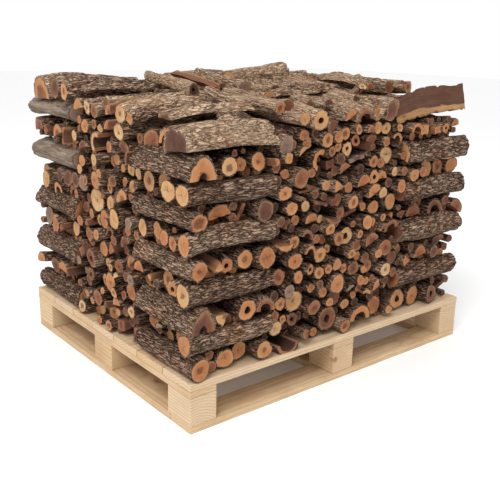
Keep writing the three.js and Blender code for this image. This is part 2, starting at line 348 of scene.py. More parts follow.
# %% Split face
split_face, tree, sockets = new_material("split_face", 0.85)
along = attribute(tree, "along")
tone, _, heart_size = parts_of(tree, attribute(tree, "kind"))
fibre = use_group(tree, fibre_group, {"Along": along, "Fineness": 1.0})
weather = use_group(tree, weather_group, {"Along": along, "Size": 16.0})
across, girth = from_pith(tree)
uneven = calc(tree, "ADD", girth, remap(tree, fibre["Band"], 0.3, 0.7, -0.10, 0.10))
wood = ramp(tree, mixture(tree, (tone, 0.75), (fibre["Band"], 0.30)), [
    (0.10, (0.040, 0.017, 0.011)), (0.32, (0.110, 0.042, 0.024)), (0.52, (0.200, 0.076, 0.040)),
    (0.72, (0.310, 0.135, 0.062)), (0.92, (0.430, 0.245, 0.120)),
])
even_edge = remap(tree, uneven, 0.74, 0.86, 0.0, 0.85)
lower_side = remap(tree, parts_of(tree, across)[0], -0.1, 0.1)
broad_edge = calc(tree, "MULTIPLY", remap(tree, uneven, 0.42, 0.50), lower_side)
one_sided = remap(tree, heart_size, 1.4, 1.5)
edge = remap(tree, one_sided, 0.0, 1.0, even_edge, broad_edge)
wood = stain(tree, wood, (0.480, 0.255, 0.105), edge)
weathered = ramp(tree, fibre["Band"], [(0.32, (0.085, 0.060, 0.044)), (0.68, (0.360, 0.275, 0.200))])
wood = blend(tree, remap(tree, tone, -0.15, -0.05, 1.0, 0.0), wood, weathered)
wood = stain(tree, wood, (0.045, 0.020, 0.014), remap(tree, fibre["Streak"], 0.35, 0.65, 0.38, 0.0))
wood = stain(tree, wood, (0.140, 0.090, 0.062), weather["Patch"], 0.30)
tree.links.new(wood, sockets["Base Color"])
raise_surface(tree, sockets, calc(tree, "ADD", fibre["Streak"], fibre["Band"]), 0.0030, 0.8)

# %% Hollow heart
hollow, tree, sockets = new_material("hollow_heart", 0.95)
along = attribute(tree, "along")
fibre = use_group(tree, fibre_group, {"Along": along, "Fineness": 0.6})
crumb = noise(tree, along, 150.0, 5.0, 0.7)
rot = ramp(tree, mixture(tree, (fibre["Band"], 0.6), (crumb, 0.4)), [
    (0.25, (0.012, 0.007, 0.005)), (0.55, (0.075, 0.034, 0.022)), (0.85, (0.210, 0.110, 0.065)),
])
tree.links.new(rot, sockets["Base Color"])
raise_surface(tree, sockets, calc(tree, "ADD", crumb, fibre["Streak"]), 0.004, 0.9)
LOG_FINISHES = (bark, sawn_end, split_face, hollow)
BARK, END, SPLIT, HOLLOW = range(4)
print("log finishes:", [finish.name for finish in LOG_FINISHES])

# %% [markdown]
# ## One pattern log for each kind
# Every log could be modelled by itself, but they share a few cross-sections: round, half, quarter,
# hollow, slab, square billet and so on. So each kind is made once as a pattern log of radius one and
# length one. Its sawn end is drawn first: a circle, inset once for the bark and again for the wood, with
# the middle closed to the pith or left open where the log is hollow. Planes then split pieces off it, and
# the finished end is extruded along the log, station by station, closer together near the end that shows.


# %% Draw the end and extrude it
BARK_RING = 0.91
WOOD_RINGS = (0.62, 0.30)
SLACK = 0.015  # for telling which ring a point belongs to


def draw_end(sides, flats, hole):
    pattern = bmesh.new()
    bmesh.ops.create_circle(pattern, cap_ends=True, segments=sides, radius=1.0)
    middle = pattern.faces[:][0]
    reached = 1.0
    rings = [ring for ring in (BARK_RING, *WOOD_RINGS) if ring > hole + 0.05]
    for ring in rings + ([hole] if hole else []):
        step = (reached - ring) * math.cos(math.pi / sides)
        bmesh.ops.inset_individual(pattern, faces=[middle], thickness=step, depth=0.0)
        reached = ring
    if hole:
        bmesh.ops.delete(pattern, geom=[middle], context="FACES")
    else:
        bmesh.ops.poke(pattern, faces=[middle])
    for angle, offset in flats:
        normal = Vector((math.cos(math.radians(angle)), math.sin(math.radians(angle)), 0.0))
        everything = pattern.verts[:] + pattern.edges[:] + pattern.faces[:]
        bmesh.ops.bisect_plane(
            pattern, geom=everything, plane_co=normal * offset, plane_no=normal, clear_outer=True
        )
    return pattern


def extrude_end(pattern, stations, plain_far_end):
    """Each step leaves the end it started from inside the log, so all but the first are deleted."""
    faces = pattern.faces[:]
    reached = 0.0
    for i, station in enumerate(stations):
        grown = bmesh.ops.extrude_face_region(pattern, geom=faces, use_keep_orig=(i == 0))["geom"]
        if i > 0:
            bmesh.ops.delete(pattern, geom=faces, context="FACES")
        faces = [g for g in grown if isinstance(g, bmesh.types.BMFace)]
        moved = [g for g in grown if isinstance(g, bmesh.types.BMVert)]
        bmesh.ops.translate(pattern, verts=moved, vec=(0.0, 0.0, station - reached))
        reached = station
    if plain_far_end:
        bmesh.ops.dissolve_faces(pattern, faces=faces)


def mark_faces(pattern, hole):
    pattern.normal_update()
    for face in pattern.faces:
        reach = [vert.co.to_2d().length for vert in face.verts]
        if abs(face.normal.z) > 0.5:
            face.material_index = BARK if min(reach) > BARK_RING - SLACK else END
            continue
        face.smooth = True
        if min(reach) > 1.0 - SLACK:
            face.material_index = BARK
        elif hole and max(reach) < hole + 0.01:
            face.material_index = HOLLOW
        else:
            face.material_index = SPLIT


def pattern_log(name, sides, stations, both_ends_show, flats=(), hole=0.0):
    pattern = draw_end(sides, flats, hole)
    extrude_end(pattern, stations, plain_far_end=not (both_ends_show or hole))
    bmesh.ops.recalc_face_normals(pattern, faces=pattern.faces[:])
    mark_faces(pattern, hole)
    mesh = bpy.data.meshes.new("pattern_" + name)
    for finish in LOG_FINISHES:
        mesh.materials.append(finish)
    pattern.to_mesh(mesh)
    pattern.free()
    places = np.empty(len(mesh.vertices) * 3)
    mesh.vertices.foreach_get("co", places)
    return {"mesh": mesh, "places": places.reshape(-1, 3)}


# %% Make the patterns
# Each flat is a direction across the log, in degrees, and how far from the pith the wood is cut off.
# Each detail is the number of sides, the stations along the log, and whether both of its ends show.
SECTIONS = {
    "round": {},
    "half": {"flats": [(270, 0.05)]},
    "quarter": {"flats": [(270, 0.0), (185, 0.05)]},
    "third": {"flats": [(270, 0.05), (150, 0.12)]},
    "slab": {"flats": [(270, -0.42)]},
    "billet": {"flats": [(270, 0.42), (90, 0.50), (0, 0.62), (180, 0.55)]},
    "plank": {"flats": [(270, 0.16), (90, 0.18)]},
    "hollow": {"hole": 0.30},
    "notched": {"hole": 0.30, "flats": [(270, 0.02)]},
    "arch": {"hole": 0.52, "flats": [(270, 0.02)]},
    "shell": {"hole": 0.66, "flats": [(270, -0.12)]},
}
DETAILS = {
    "hidden": (10, [0.5, 1.0], False),
    "far_end": (20, [0.02, 0.07, 0.2, 0.5, 1.0], False),
    "end": (24, [0.012, 0.035, 0.08, 0.16, 0.30, 0.55, 1.0], False),
    "side": (28, [0.012] + [i / 26 for i in range(1, 26)] + [0.988, 1.0], True),
    "full": (42, [0.008] + [i / 56 for i in range(1, 56)] + [0.992, 1.0], True),
}
patterns = {}


def pattern_for(section, detail):
    if (section, detail) not in patterns:
        patterns[section, detail] = pattern_log(f"{section}_{detail}", *DETAILS[detail], **SECTIONS[section])
    return patterns[section, detail]


for detail in DETAILS:
    print(detail, "round log:", len(pattern_for("round", detail)["mesh"].polygons), "faces")

# %% [markdown]
# ## From a pattern to a real log
# No two logs are alike, so every copy of a pattern is moved point by point. The outline gets lobes and
# the bark gets furrows; the log tapers, swells at knots and bows; the saw cuts it a little out of
# square. The furrows are smooth waves folded at zero, which makes narrow valleys between broad ridges.
# Sums of waves are used rather than stored noise because they can be worked out for all of a log's
# points at once.


# %% Waves, outline, furrows and bow
DRAWN_OUT = (1.0, 1.0, 0.26)  # furrows are about four times as long as they are wide


def waves(places, wavelength, seed, count=7):
    chance = np.random.default_rng(seed)
    turn = chance.normal(size=(count, 3))
    turn *= (math.tau / wavelength * chance.uniform(0.7, 1.4, count) / np.linalg.norm(turn, axis=1))[:, None]
    return np.sin(places @ turn.T + chance.uniform(0.0, math.tau, count)).sum(axis=1) / math.sqrt(count)


def uneven_outline(angle, t, length, radius, chance, swell, knots):
    """How far out the surface lies, as a share of the radius: lobes, a swelling and knots."""
    outline = np.ones_like(angle)
    for fold, size in ((2, 0.07), (3, 0.05), (5, 0.022)):
        outline += size * chance.uniform(0.2, 1.0) * np.cos(fold * angle + chance.uniform(0, math.tau))
    outline += swell * np.sin(t * chance.uniform(2, 5) + chance.uniform(0, math.tau))
    for _ in range(knots):
        at, turn = chance.uniform(0.15, 0.85), chance.uniform(0, math.tau)
        round_it = np.angle(np.exp(1j * (angle - turn))) / 0.45
        along_it = (t - at) * length / radius / 0.7
        outline += chance.uniform(0.15, 0.32) * np.exp(-(round_it**2) - along_it**2)
    return outline


def furrows(drawn_out, pitch, seed):
    valley = 1.0 - np.clip(np.abs(waves(drawn_out, pitch, seed + 1)) * 1.6, 0.0, 1.0)
    coarse = waves(drawn_out, pitch * 2.6, seed + 2)
    return 0.55 * coarse - 1.35 * valley**1.5


def bow_aside(t, bow, chance):
    """A bow to one side, with a smaller second bend across it."""
    towards = chance.uniform(0, math.tau)
    rise = 4.0 * t * (1.0 - t) * bow * chance.uniform(0.3, 1.0)
    kink = np.sin(t * math.tau) * bow * 0.3
    ahead, aside = math.cos(towards), math.sin(towards)
    return np.column_stack([rise * ahead - kink * aside, rise * aside + kink * ahead])


# %% Shape one log
OUT_OF_SQUARE = 0.06  # how far a saw cut leans, as a share of the radius


def shape_log(pattern, length, radius, seed, bow=0.006, furrow=0.0022, pitch=0.016, knots=0, taper=0.06,
              oval=1.0, swell=0.04):
    """Returns where the points go, and where they lie in the wood, which is what the grain follows."""
    chance = np.random.default_rng(seed)
    x, y, t = pattern["places"].T
    girth = np.hypot(x, y)
    outer = np.clip((girth - 0.3) / 0.65, 0.0, 1.0) ** 2
    outline = uneven_outline(np.arctan2(y, x), t, length, radius, chance, swell, knots)
    outline *= 1.0 - taper * t
    body = np.column_stack([x * outline * radius, y * outline * radius * oval, t * length])
    drawn_out = body * DRAWN_OUT
    relief = furrows(drawn_out, pitch, seed) * furrow * outer
    body[:, :2] += np.column_stack([x, y]) / np.maximum(girth, 1e-6)[:, None] * relief[:, None]
    for axis in (0, 1):
        body[:, axis] += (1.0 - outer) * waves(drawn_out, 0.03, seed + 3 + axis) * 0.0012
    grain = body.copy()
    lean = chance.uniform(0, math.tau)
    leaning = x * math.cos(lean) + y * math.sin(lean)
    body[:, 2] += OUT_OF_SQUARE * chance.uniform(-1, 1) * leaning * radius
    body[:, :2] += bow_aside(t, bow, chance)
    return body, grain + chance.uniform(-3.0, 3.0, 3)


def frame_along(direction, roll):
    ahead = Vector(direction).normalized()
    aside = Vector((0, 0, 1)).cross(ahead).normalized()
    above = ahead.cross(aside)
    return Matrix((aside, above, ahead)).transposed() @ Matrix.Rotation(-math.radians(roll), 3, "Z")


# %% Add a log to a heap
# The tones run from cream, yellow and orange through pinkish tan and red-brown to brown and dark, and g is
# wood gone grey. A tone that is not given is drawn from what this timber shows: mostly orange-tan.
TONES = {"c": 0.90, "y": 0.80, "o": 0.66, "p": 0.52, "r": 0.38, "b": 0.24, "d": 0.08, "g": -0.20}
COMMON_TONES = "cyyooooooppppppprrrrrbbb"
OWN_NUMBERS = 997


def add_log(heap, section, start, direction, length, radius, roll=0.0, tone=None, detail="end",
            bark_tone=None, heart=None, **shape):
    seed = int(draw.integers(1, 10**9))
    tone = tone or COMMON_TONES[int(draw.integers(len(COMMON_TONES)))]
    wood_tone = TONES[tone] + draw.uniform(-0.05, 0.05)
    bark_tone = draw.uniform(0.1, 1.0) if bark_tone is None else bark_tone
    heart = max(0.0, draw.uniform(-0.5, 0.42)) if heart is None else heart
    pattern = pattern_for(section, detail)
    body, grain = shape_log(pattern, length, radius, seed, **shape)
    turn = np.array(frame_along(direction, roll))
    count = len(body)
    pith = np.column_stack([pattern["places"][:, :2], np.full(count, (seed % OWN_NUMBERS) / OWN_NUMBERS)])
    kind = np.tile((wood_tone, bark_tone, heart), (count, 1))
    heap.append((pattern["mesh"], body @ turn.T + np.array(start), grain, pith, kind))


# %% Join a heap of logs into one piece
total_triangles = 0


def keep_on_mesh(mesh, along, pith, kind):
    """Writes the three attributes that the finishes read."""
    for label, values in (("along", along), ("pith", pith), ("kind", kind)):
        layer = mesh.attributes.new(label, "FLOAT_VECTOR", "POINT")
        layer.data.foreach_set("vector", values.astype(np.float32).ravel())


def hand_over(name, mesh, slot, *nodes):
    """Makes the mesh a piece of the object, which stands for its nodes."""
    piece = bpy.data.objects.new(name, mesh)
    bpy.context.scene.collection.objects.link(piece)
    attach(piece, "root")
    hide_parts(*nodes)
    return piece


def put_together(name, heap, slot, *nodes):
    global total_triangles
    joined = bmesh.new()
    for pattern_mesh, places, *_ in heap:
        pattern_mesh.vertices.foreach_set("co", places.ravel())
        joined.from_mesh(pattern_mesh)
    mesh = bpy.data.meshes.new(name)
    for finish in LOG_FINISHES:
        mesh.materials.append(finish)
    joined.to_mesh(mesh)
    joined.free()
    keep_on_mesh(mesh, *(np.concatenate([log[column] for log in heap]) for column in (2, 3, 4)))
    triangles = sum(len(polygon.vertices) - 2 for polygon in mesh.polygons)
    total_triangles += triangles
    print(f"{name}: {len(heap)} logs, {triangles} triangles")
    return hand_over(name, mesh, slot, *nodes)


# %% [markdown]
# ## Where the ends lie
# A stack is laid by hand, log by log, so its pattern of ends is a list: where the end is along the
# face, how high it is and its radius, in millimetres, and then how it looks. A round log has its wood
# tone there, or nothing, and any other log its section, how far it is turned, and its wood tone. Two
# tidying steps follow, as they do in a real stack: logs that would press into each other are pushed
# apart, and thin logs are slipped into the gaps that are left.

# %% The front stack, seen from the front: place along X, height, radius
FRONT_STACK = [
    (-250, 186, 46, "shell", 180, "r"), (-288, 224, 24, "c"), (-247, 243, 15),
    (-200, 242, 22, "hollow", 0, "b"), (-147, 193, 38, "third", 40, "r"), (-57, 210, 42, "hollow", 10, "b"),
    (-105, 176, 18), (20, 240, 20, "o"), (-8, 182, 24, "p"), (77, 180, 50, "arch", 0, "o"),
    (170, 200, 38, "p"), (225, 180, 18), (-67, 263, 18, "o"), (20, 290, 26, "slab", 15, "g"),
    (103, 252, 27, "slab", -10, "o"), (62, 262, 15), (223, 262, 19, "third", 20, "p"),
    (157, 278, 32, "quarter", 20, "o"), (103, 305, 15), (-197, 290, 36, "c"), (-258, 300, 22),
    (-130, 265, 26), (-160, 338, 16), (-123, 342, 18), (-92, 308, 20), (-47, 326, 32, "o"), (60, 322, 20),
    (43, 358, 24, "b"), (92, 346, 16), (133, 345, 25, "o"), (190, 330, 27, "c"), (232, 312, 18),
    (-10, 371, 17), (-130, 381, 20, "o"), (-207, 380, 21, "o"), (-287, 388, 28, "r"), (-247, 345, 22, "g"),
    (-168, 398, 18, "hollow", 0, "p"), (-50, 390, 22, "o"), (-88, 385, 18, "o"), (17, 413, 17, "o"),
    (67, 393, 16, "p"), (190, 403, 32, "r"), (237, 396, 19, "quarter", 0, "r"), (140, 395, 18),
    (110, 438, 34, "half", 20, "r"), (-223, 432, 27, "p"), (-117, 433, 27, "o"),
    (-282, 446, 26, "third", 90, "o"), (-170, 452, 24, "arch", 0, "p"), (-170, 490, 30, "arch", -20, "b"),
    (-68, 440, 16), (-47, 472, 24, "p"), (17, 465, 32, "hollow", 0, "c"), (66, 470, 16, "o"),
    (160, 470, 24, "slab", 30, "b"), (215, 462, 36, "arch", 10, "r"), (-225, 490, 22, "o"),
    (-262, 500, 36, "slab", 180, "o"), (-120, 478, 16), (-83, 508, 20, "o"), (-30, 512, 15),
    (73, 507, 26, "o"), (118, 500, 16), (160, 512, 16, "o"), (207, 512, 20, "third", 200, "p"),
    (-147, 538, 28, "half", 10, "p"), (-197, 545, 17, "o"), (-245, 548, 24, "quarter", 200, "r"),
    (-108, 540, 14), (-65, 552, 38, "slab", 170, "b"), (23, 540, 36, "plank", 10, "b"), (207, 553, 30, "o"),
    (83, 553, 16, "o"), (137, 541, 24, "o"), (-287, 560, 16), (-247, 593, 22, "o"), (-169, 584, 18, "c"),
    (-208, 605, 18, "slab", 0, "b"), (-125, 590, 26, "plank", -15, "b"), (-75, 592, 22, "billet", 10, "b"),
    (3, 583, 23, "o"), (48, 580, 18, "slab", 200, "b"), (165, 590, 20, "c"), (227, 606, 25, "p"),
    (103, 600, 36, "half", 20, "o"), (50, 632, 36, "half", 10, "p"), (-53, 635, 36, "third", 20, "o"),
    (2, 622, 18, "p"), (147, 640, 27, "half", 0, "o"), (203, 657, 18, "c"), (-273, 640, 24, "o"),
    (-170, 628, 22, "plank", 5, "r"), (-130, 655, 38, "slab", 160, "b"), (-90, 640, 18),
    (100, 652, 24, "hollow", 0, "o"), (245, 655, 17), (-213, 678, 31, "r"), (-260, 690, 16),
    (-165, 690, 17), (43, 707, 38, "plank", 12, "g"), (-70, 700, 28, "billet", 10, "b"),
    (-15, 680, 24, "half", 30, "r"), (-137, 715, 36, "arch", 60, "o"), (105, 690, 22), (142, 690, 18),
    (195, 705, 32, "c"), (243, 705, 16), (-100, 745, 16), (-205, 745, 24, "slab", 40, "o"), (-170, 770, 20),
    (-3, 743, 22, "hollow", 0, "c"), (-45, 750, 18, "o"), (30, 762, 20, "hollow", 30, "p"),
    (75, 745, 20, "billet", 20, "b"), (117, 743, 36, "half", 60, "r"), (165, 752, 18), (-117, 775, 24, "o"),
    (-70, 785, 20), (-240, 770, 22), (-268, 738, 18, "o"), (160, 792, 22), (215, 755, 24, "arch", -20, "o"),
    (-20, 788, 22, "o"), (70, 790, 24, "half", 0, "r"), (240, 790, 18), (115, 798, 20), (20, 800, 16),
    (-210, 800, 20), (200, 795, 15),
]
print("front stack:", len(FRONT_STACK), "chosen ends")

# %% The left stack, seen from the left: place along Y, height, radius
LEFT_STACK = [
    (160, 172, 24, "c"), (83, 180, 22, "c"), (121, 172, 18), (3, 192, 28, "o"), (40, 176, 17),
    (-38, 176, 18), (-97, 186, 36, "billet", 10, "r"), (-150, 180, 24, "slab", 70, "g"),
    (-188, 186, 30, "plank", 75, "r"), (-65, 222, 16), (103, 240, 17, "o"),
    (140, 225, 22, "hollow", 0, "b"), (30, 243, 30, "r"), (63, 218, 15), (-30, 232, 22, "third", 30, "b"),
    (-80, 250, 28, "half", 10, "o"), (-145, 262, 14, "o"), (-120, 240, 16), (-197, 258, 22, "c"),
    (-165, 228, 18), (147, 300, 26, "billet", 10, "g"), (147, 262, 16), (103, 285, 22, "b"),
    (-30, 308, 33, "o"), (30, 298, 22, "y"), (70, 322, 24, "hollow", 0, "b"),
    (-103, 338, 28, "slab", 25, "c"), (-160, 316, 28, "p"), (-80, 296, 20), (-120, 296, 16), (0, 280, 14),
    (-3, 366, 18, "c"), (60, 358, 34, "hollow", 60, "b"), (123, 378, 34, "billet", 30, "r"),
    (150, 342, 18, "g"), (-77, 373, 23, "r"), (-190, 362, 20, "g"), (-140, 362, 17, "b"), (-35, 350, 15),
    (20, 409, 27, "o"), (-50, 418, 34, "third", 30, "p"), (-115, 408, 24, "plank", 50, "b"), (90, 420, 18),
    (-160, 400, 20), (-195, 412, 26, "half", 40, "p"), (67, 448, 22, "r"), (103, 466, 22, "third", 0, "r"),
    (150, 430, 20), (20, 455, 20), (-127, 455, 28, "half", 30, "b"), (-85, 462, 18, "r"),
    (-30, 468, 26, "arch", 10, "b"), (-175, 455, 22, "b"), (145, 478, 20), (65, 492, 22, "y"),
    (10, 508, 33, "p"), (-87, 526, 33, "c"), (-45, 510, 14), (-140, 500, 18), (-167, 527, 20, "g"),
    (-190, 492, 18), (105, 505, 18), (140, 520, 22, "b"), (63, 548, 44, "c"), (-40, 565, 25, "y"),
    (12, 565, 18, "slab", 20, "r"), (115, 552, 18), (150, 560, 16), (-130, 590, 36, "half", 20, "o"),
    (-170, 578, 21, "r"), (-80, 590, 20), (123, 597, 30, "g"), (27, 625, 30, "o"), (70, 612, 20),
    (-15, 610, 18), (-7, 652, 16, "o"), (-75, 640, 20, "b"), (-40, 635, 15), (150, 640, 18),
    (-120, 645, 16), (-165, 630, 22), (-195, 610, 16), (90, 648, 18), (127, 672, 20, "o"),
    (70, 680, 20, "half", 20, "b"), (20, 690, 21, "c"), (-37, 692, 22, "p"), (-77, 702, 18, "o"),
    (-110, 680, 15), (-147, 680, 23, "y"), (-188, 678, 20, "c"), (150, 705, 16, "billet", 0, "b"),
    (95, 720, 22, "half", 10, "b"), (-137, 735, 34, "half", -30, "r"), (0, 745, 34, "arch", 60, "c"),
    (50, 738, 20, "half", 20, "b"), (-190, 722, 22, "slab", 80, "b"), (-40, 738, 16), (-85, 742, 18),
    (150, 750, 20), (110, 768, 20, "quarter", 10, "r"), (71, 788, 22, "o"),
    (-67, 790, 30, "quarter", 0, "p"), (-20, 790, 15, "y"), (-147, 795, 27, "c"), (-190, 780, 17),
    (20, 798, 18, "r"), (-108, 798, 14), (150, 795, 18), (110, 805, 14),
]
print("left stack:", len(LEFT_STACK), "chosen ends")

# %% Push logs apart and fill the gaps
FLAT_BOTTOM = ("half", "notched", "arch", "shell", "slab")
FREE = {
    "half": 0.74, "notched": 0.74, "arch": 0.78, "shell": 0.72, "slab": 0.58, "quarter": 0.62, "third": 0.72,
    "billet": 0.62, "plank": 0.62,
}  # the share of its radius that a section keeps free around it
ROW_SECTIONS = ("round", "round", "round", "half", "third", "arch", "hollow")


def look_of(look):
    """A log's section, turn and wood tone, however short they are written."""
    return tuple(look) if len(look) == 3 else ("round", 0, *look, None)[:3]


def room_of(log):
    return log[2] * FREE.get(log[3], 1.0)


def depth_below(log):
    """How far a log reaches below its centre: a log on its flat side hardly at all."""
    lies_flat = log[3] in FLAT_BOTTOM and abs(log[4]) < 45
    return 0.05 * log[2] if lies_flat else room_of(log)


CLEARANCE = 1.0
PUSHES = 60
PUSH_SHARE = 0.25


def spread(logs, low, high, bottom, top):
    """Moves the logs' centres until none presses into another, inside a face's edges."""
    centres = np.array([log[:2] for log in logs], float)
    reach = np.array([room_of(log) for log in logs])
    seat = np.array([depth_below(log) for log in logs])
    for _ in range(PUSHES):
        gap = centres[:, None] - centres[None]
        far = np.linalg.norm(gap, axis=2) + np.eye(len(logs)) * 1e6
        press = np.clip(reach[:, None] + reach[None] + CLEARANCE - far, 0.0, None)
        centres += PUSH_SHARE * (gap / far[..., None] * press[..., None]).sum(axis=1)
        centres[:, 0] = np.clip(centres[:, 0], low + reach, high - reach)
        centres[:, 1] = np.clip(centres[:, 1], bottom + seat, top - reach * 0.8)
    return [(x, z, *log[2:]) for (x, z), log in zip(centres.tolist(), logs)]


GRID_STEP = 4.0


def gaps(logs, low, high, bottom, top, least=10.5, most=30.0):
    """Round logs for the gaps, thickest first."""
    across, up = np.meshgrid(np.arange(low, high, GRID_STEP), np.arange(bottom, top, GRID_STEP))
    grid = np.stack([across.ravel(), up.ravel()], axis=1)
    room = np.minimum(np.abs(grid - (low, bottom)).min(axis=1), np.abs(grid - (high, top)).min(axis=1))
    room = np.minimum(room, most)
    for log in logs:
        room = np.minimum(room, np.linalg.norm(grid - log[:2], axis=1) - room_of(log))
    added = []
    while room.max() > least:
        best = int(room.argmax())
        added.append((*grid[best].tolist(), float(room[best])))
        room = np.minimum(room, np.linalg.norm(grid - grid[best], axis=1) - room[best])
    return added


def random_row(low, high, bottom, top):
    """Logs side by side, nearly as thick as the row is high."""
    row = []
    at = low
    while at < high - 24.0:
        radius = min((top - bottom) / 2 * draw.uniform(0.72, 0.98), (high - at) / 2)
        section = ROW_SECTIONS[int(draw.integers(len(ROW_SECTIONS)))]
        row.append((at + radius, bottom + radius, radius, section, draw.uniform(-40, 40), None))
        at += 2 * radius + CLEARANCE
    return row


# %% The faces of the load
DECK_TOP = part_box("stack_front")[0][2] / MM
STACK_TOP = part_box("stack_front")[1][2] / MM
FRONT_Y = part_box("stack_front")[0][1] / MM
BACK_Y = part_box("stack_back")[1][1] / MM
LEFT_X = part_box("stack_left")[0][0] / MM
RIGHT_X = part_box("stack_right")[1][0] / MM
LOG_LENGTH = 292.0
# Dark wood tones for the logs in the gaps: painted shade between the logs.
PAINTED_SHADE_GAP_TONES = "bdrdb"
TRIM = 0.96  # lobes and furrows take up the rest of the radius
FACES = {
    "front": {"ahead": (0, 1, 0), "place": lambda u, depth: (u, FRONT_Y + depth)},
    "back": {"ahead": (0, -1, 0), "place": lambda u, depth: (u, BACK_Y - depth)},
    "left": {"ahead": (1, 0, 0), "place": lambda u, depth: (LEFT_X + depth, u)},
    "right": {"ahead": (-1, 0, 0), "place": lambda u, depth: (RIGHT_X - depth, u)},
}


def lay_end(heap, face, u, z, radius, section="round", roll=0.0, tone=None, least=1.0, deepest=46.0,
            detail="end", askew=0.045, **more):
    """A log with its sawn end on one face of the load, a little in from it and a little askew."""
    depth = least + (deepest - least) * draw.uniform() ** 1.6
    x, y = FACES[face]["place"](u, depth)
    ahead = np.array(FACES[face]["ahead"], float) + draw.normal(0.0, askew, 3)
    length = LOG_LENGTH - deepest - draw.uniform(0.0, 20.0)
    if section == "round":
        roll = draw.uniform(0.0, 360.0)
    start = (x * MM, y * MM, z * MM)
    add_log(heap, section, start, ahead, length * MM, radius * TRIM * MM, roll, tone, detail, **more)


def fill_gaps(heap, face, laid, low, high, bottom, top, thicker=1.0, **more):
    """Thin logs set back from the face, mostly in dark tones that paint the shade in the gaps."""
    fillers = gaps(laid, low, high, bottom, top)
    for u, z, radius in fillers:
        tone = PAINTED_SHADE_GAP_TONES[int(draw.integers(len(PAINTED_SHADE_GAP_TONES)))]
        lay_end(heap, face, u, z, radius * thicker, tone=tone, least=22.0, deepest=85.0, **more)
    return len(fillers)


def lay_stack(heap, face, logs, low, high, bottom, top, **more):
    laid = spread([(*log[:3], *look_of(log[3:])) for log in logs], low, high, bottom, top)
    for log in laid:
        lay_end(heap, face, *log, **more)
    return len(laid), fill_gaps(heap, face, laid, low, high, bottom, top, thicker=1.06, **more)


# %% Lay the front and left stacks
def edges(node, axis):
    low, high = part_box(node)
    return low[axis] / MM, high[axis] / MM


for side, axis, stack in (("front", 0, FRONT_STACK), ("left", 1, LEFT_STACK)):
    logs = []
    counts = lay_stack(logs, side, stack, *edges(f"stack_{side}", axis), DECK_TOP, STACK_TOP)
    print(side, "stack: laid and slipped into gaps", counts)
    put_together(f"{side}_stack", logs, "stacked_logs", f"stack_{side}")

# %% [markdown]
# The two stacks on the far sides are laid the same way, but nobody chose their pattern: rows of random
# thickness are laid one on the other and tidied by the same two steps. The core behind all four needs
# only enough wood to be dark and full between the gaps, so its logs use the plainest pattern.


# %% Lay the back and right stacks and the core
def random_stack(low, high, bottom, top):
    logs = []
    height = bottom
    while height < top - 30.0:
        rise = draw.uniform(40.0, 62.0)
        logs += random_row(low, high, height, min(height + rise, top))
        height += rise * 0.92
    return logs


for side, axis in (("back", 0), ("right", 1)):
    low, high = edges(f"stack_{side}", axis)
    logs = []
    stack = random_stack(low, high, DECK_TOP, STACK_TOP)
    counts = lay_stack(logs, side, stack, low, high, DECK_TOP, STACK_TOP, detail="far_end")
    print(side, "stack: laid and slipped into gaps", counts)
    put_together(f"{side}_stack", logs, "stacked_logs", f"stack_{side}")

core_logs = []
(core_x0, core_y0, core_z0), (core_x1, core_y1, core_z1) = (np.array(c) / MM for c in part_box("stack_core"))
for _, z, radius, *_ in random_stack(core_y0, core_y1, core_z0, core_z1):
    y = draw.uniform(core_y0 + radius, core_y1 - radius)
    for x in (core_x0, (core_x0 + core_x1) / 2):
        add_log(core_logs, "round", (x * MM, y * MM, z * MM), (1, 0, 0), 0.27, radius * MM, detail="hidden")
put_together("core_stack", core_logs, "stacked_logs", "stack_core")

# %% [markdown]
# ## The corner cribs
# Each crib is a tower of layers, about 300 mm square, and its layers run along the load and across it by
# turns. Where the outer log of a layer has its own solid in the frame, it is built as its own piece, in
# the place and size of that solid, with the densest pattern. The other logs of a layer show only their
# ends. For each layer that shows, the list gives those ends; the layers on the hidden sides get rows of
# random logs. Each layer sinks a little into the one below, and a few short logs lie unseen between the
# two, so that no daylight shows through the tower.

